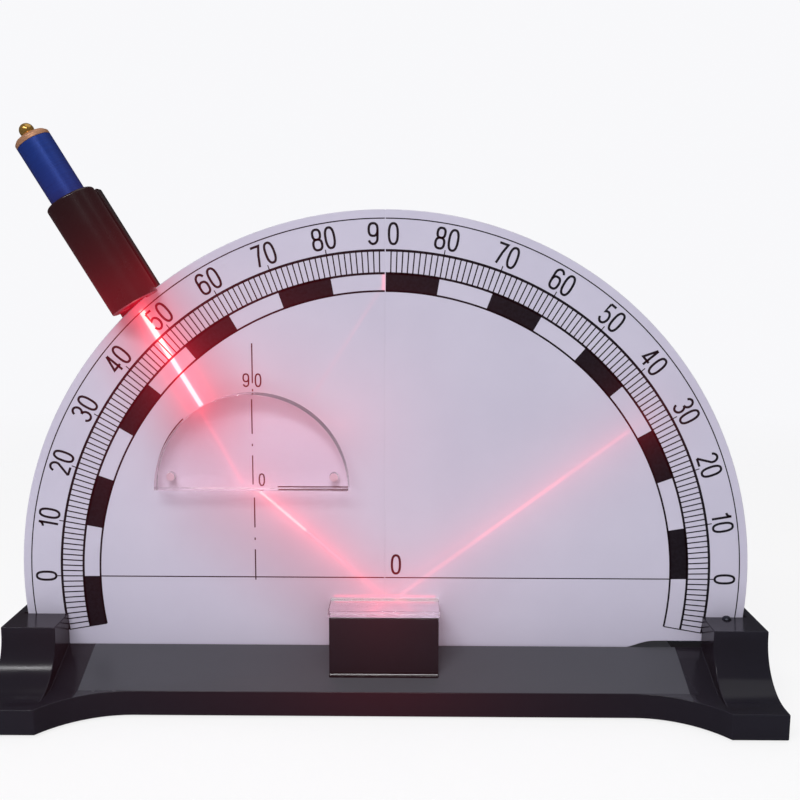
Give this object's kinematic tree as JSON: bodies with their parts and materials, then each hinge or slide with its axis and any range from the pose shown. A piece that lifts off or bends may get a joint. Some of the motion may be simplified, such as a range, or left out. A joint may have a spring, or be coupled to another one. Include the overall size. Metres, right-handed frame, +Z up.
{
  "type": "laser reflection and refraction demonstrator",
  "caption": "Half-round degree board in hinged halves on a moulded base, with a rim-mounted laser, a half-round prism and a plane mirror, for showing reflection and refraction.",
  "frame": {"origin": "on the table, under the middle of the board: centre of the underside of the base", "axes": "+X along the board to the folding half, +Y behind the board, +Z up"},
  "size_m": [0.3076, 0.084, 0.2318],
  "materials": {
    "base_abs": "glossy black moulded ABS",
    "foot_rubber": "matt black rubber",
    "dark_steel": "blackened steel",
    "block_abs": "glossy black moulded ABS",
    "screw_steel": "zinc-plated steel",
    "pad_foam": "white foam adhesive pad",
    "mirror": "silvered plane mirror glass",
    "board_enamel": "white enamelled steel sheet",
    "dial_film": "printed white film",
    "hinge_steel": "plain rolled steel",
    "magnet_nickel": "nickel-plated magnet",
    "holder_abs": "satin black moulded ABS",
    "blue_anodised": "blue anodised aluminium",
    "brass": "turned brass",
    "copper_flange": "copper-coloured turned brass",
    "optic": "polished lens",
    "black_plastic": "matt black plastic",
    "circuit_board": "green solder mask",
    "cell_steel": "nickel-plated steel",
    "prism_acrylic": "clear polished acrylic"
  },
  "bodies": {
    "stand": {"base": "base_abs", "rubber_feet": "foot_rubber", "stop_pin": "dark_steel", "mirror_block": "block_abs", "block_screws": "screw_steel", "mirror_pad": "pad_foam", "mirror_glass": "mirror", "left_board": "board_enamel", "left_dial_film": "dial_film", "board_screws": "screw_steel", "fixed_leaves": "hinge_steel", "hinge_pins": "hinge_steel"},
    "folding_half": {"right_board": "board_enamel", "right_dial_film": "dial_film", "swing_leaves": "hinge_steel"},
    "magnet": {"rim_magnet": "magnet_nickel"},
    "holder": {"laser_holder": "holder_abs", "magnet_bar": "holder_abs"},
    "laser": {"laser_tube": "blue_anodised", "nose_ring": "brass", "line_lens": "optic", "lens_spacer": "black_plastic", "collimating_lens": "optic", "lens_barrel": "brass", "laser_diode": "cell_steel", "driver_board": "circuit_board", "contact_spring": "cell_steel", "button_cells": "cell_steel", "tail_plug": "copper_flange", "button_spring": "cell_steel"},
    "button": {"tail_button": "brass"},
    "prism": {"prism": "prism_acrylic", "prism_magnets": "magnet_nickel"}
  },
  "joints": [
    {"name": "fold", "type": "hinge", "parent": "stand", "child": "folding_half", "pos_m": [0, 0.00295, 0.112], "axis": [0, 0, 1], "range_deg": [0, 90]},
    {"name": "rim_slide", "type": "hinge", "parent": "stand", "child": "magnet", "pos_m": [0, 0, 0.05], "axis": [0, 1, 0], "range_deg": [-35, 30]},
    {"name": "holder_swivel", "type": "hinge", "parent": "magnet", "child": "holder", "pos_m": [-0.09523, 0, 0.15775], "axis": [0, 1, 0], "range_deg": [-14, 1.5]},
    {"name": "tube_slide", "type": "slide", "parent": "holder", "child": "laser", "axis": [-0.515, 0, 0.8572], "range_m": [0, 0.012]},
    {"name": "button_press", "type": "slide", "parent": "laser", "child": "button", "axis": [0.515, 0, -0.8572], "range_m": [0, 0.0008], "stiffness_N_per_m": 800, "springref_m": -0.001, "deforming": ["button_spring"]},
    {"name": "prism_turn", "type": "hinge", "parent": "stand", "child": "prism", "pos_m": [-0.0535, 0, 0.0883], "axis": [0, 1, 0], "continuous": true}
  ]
}
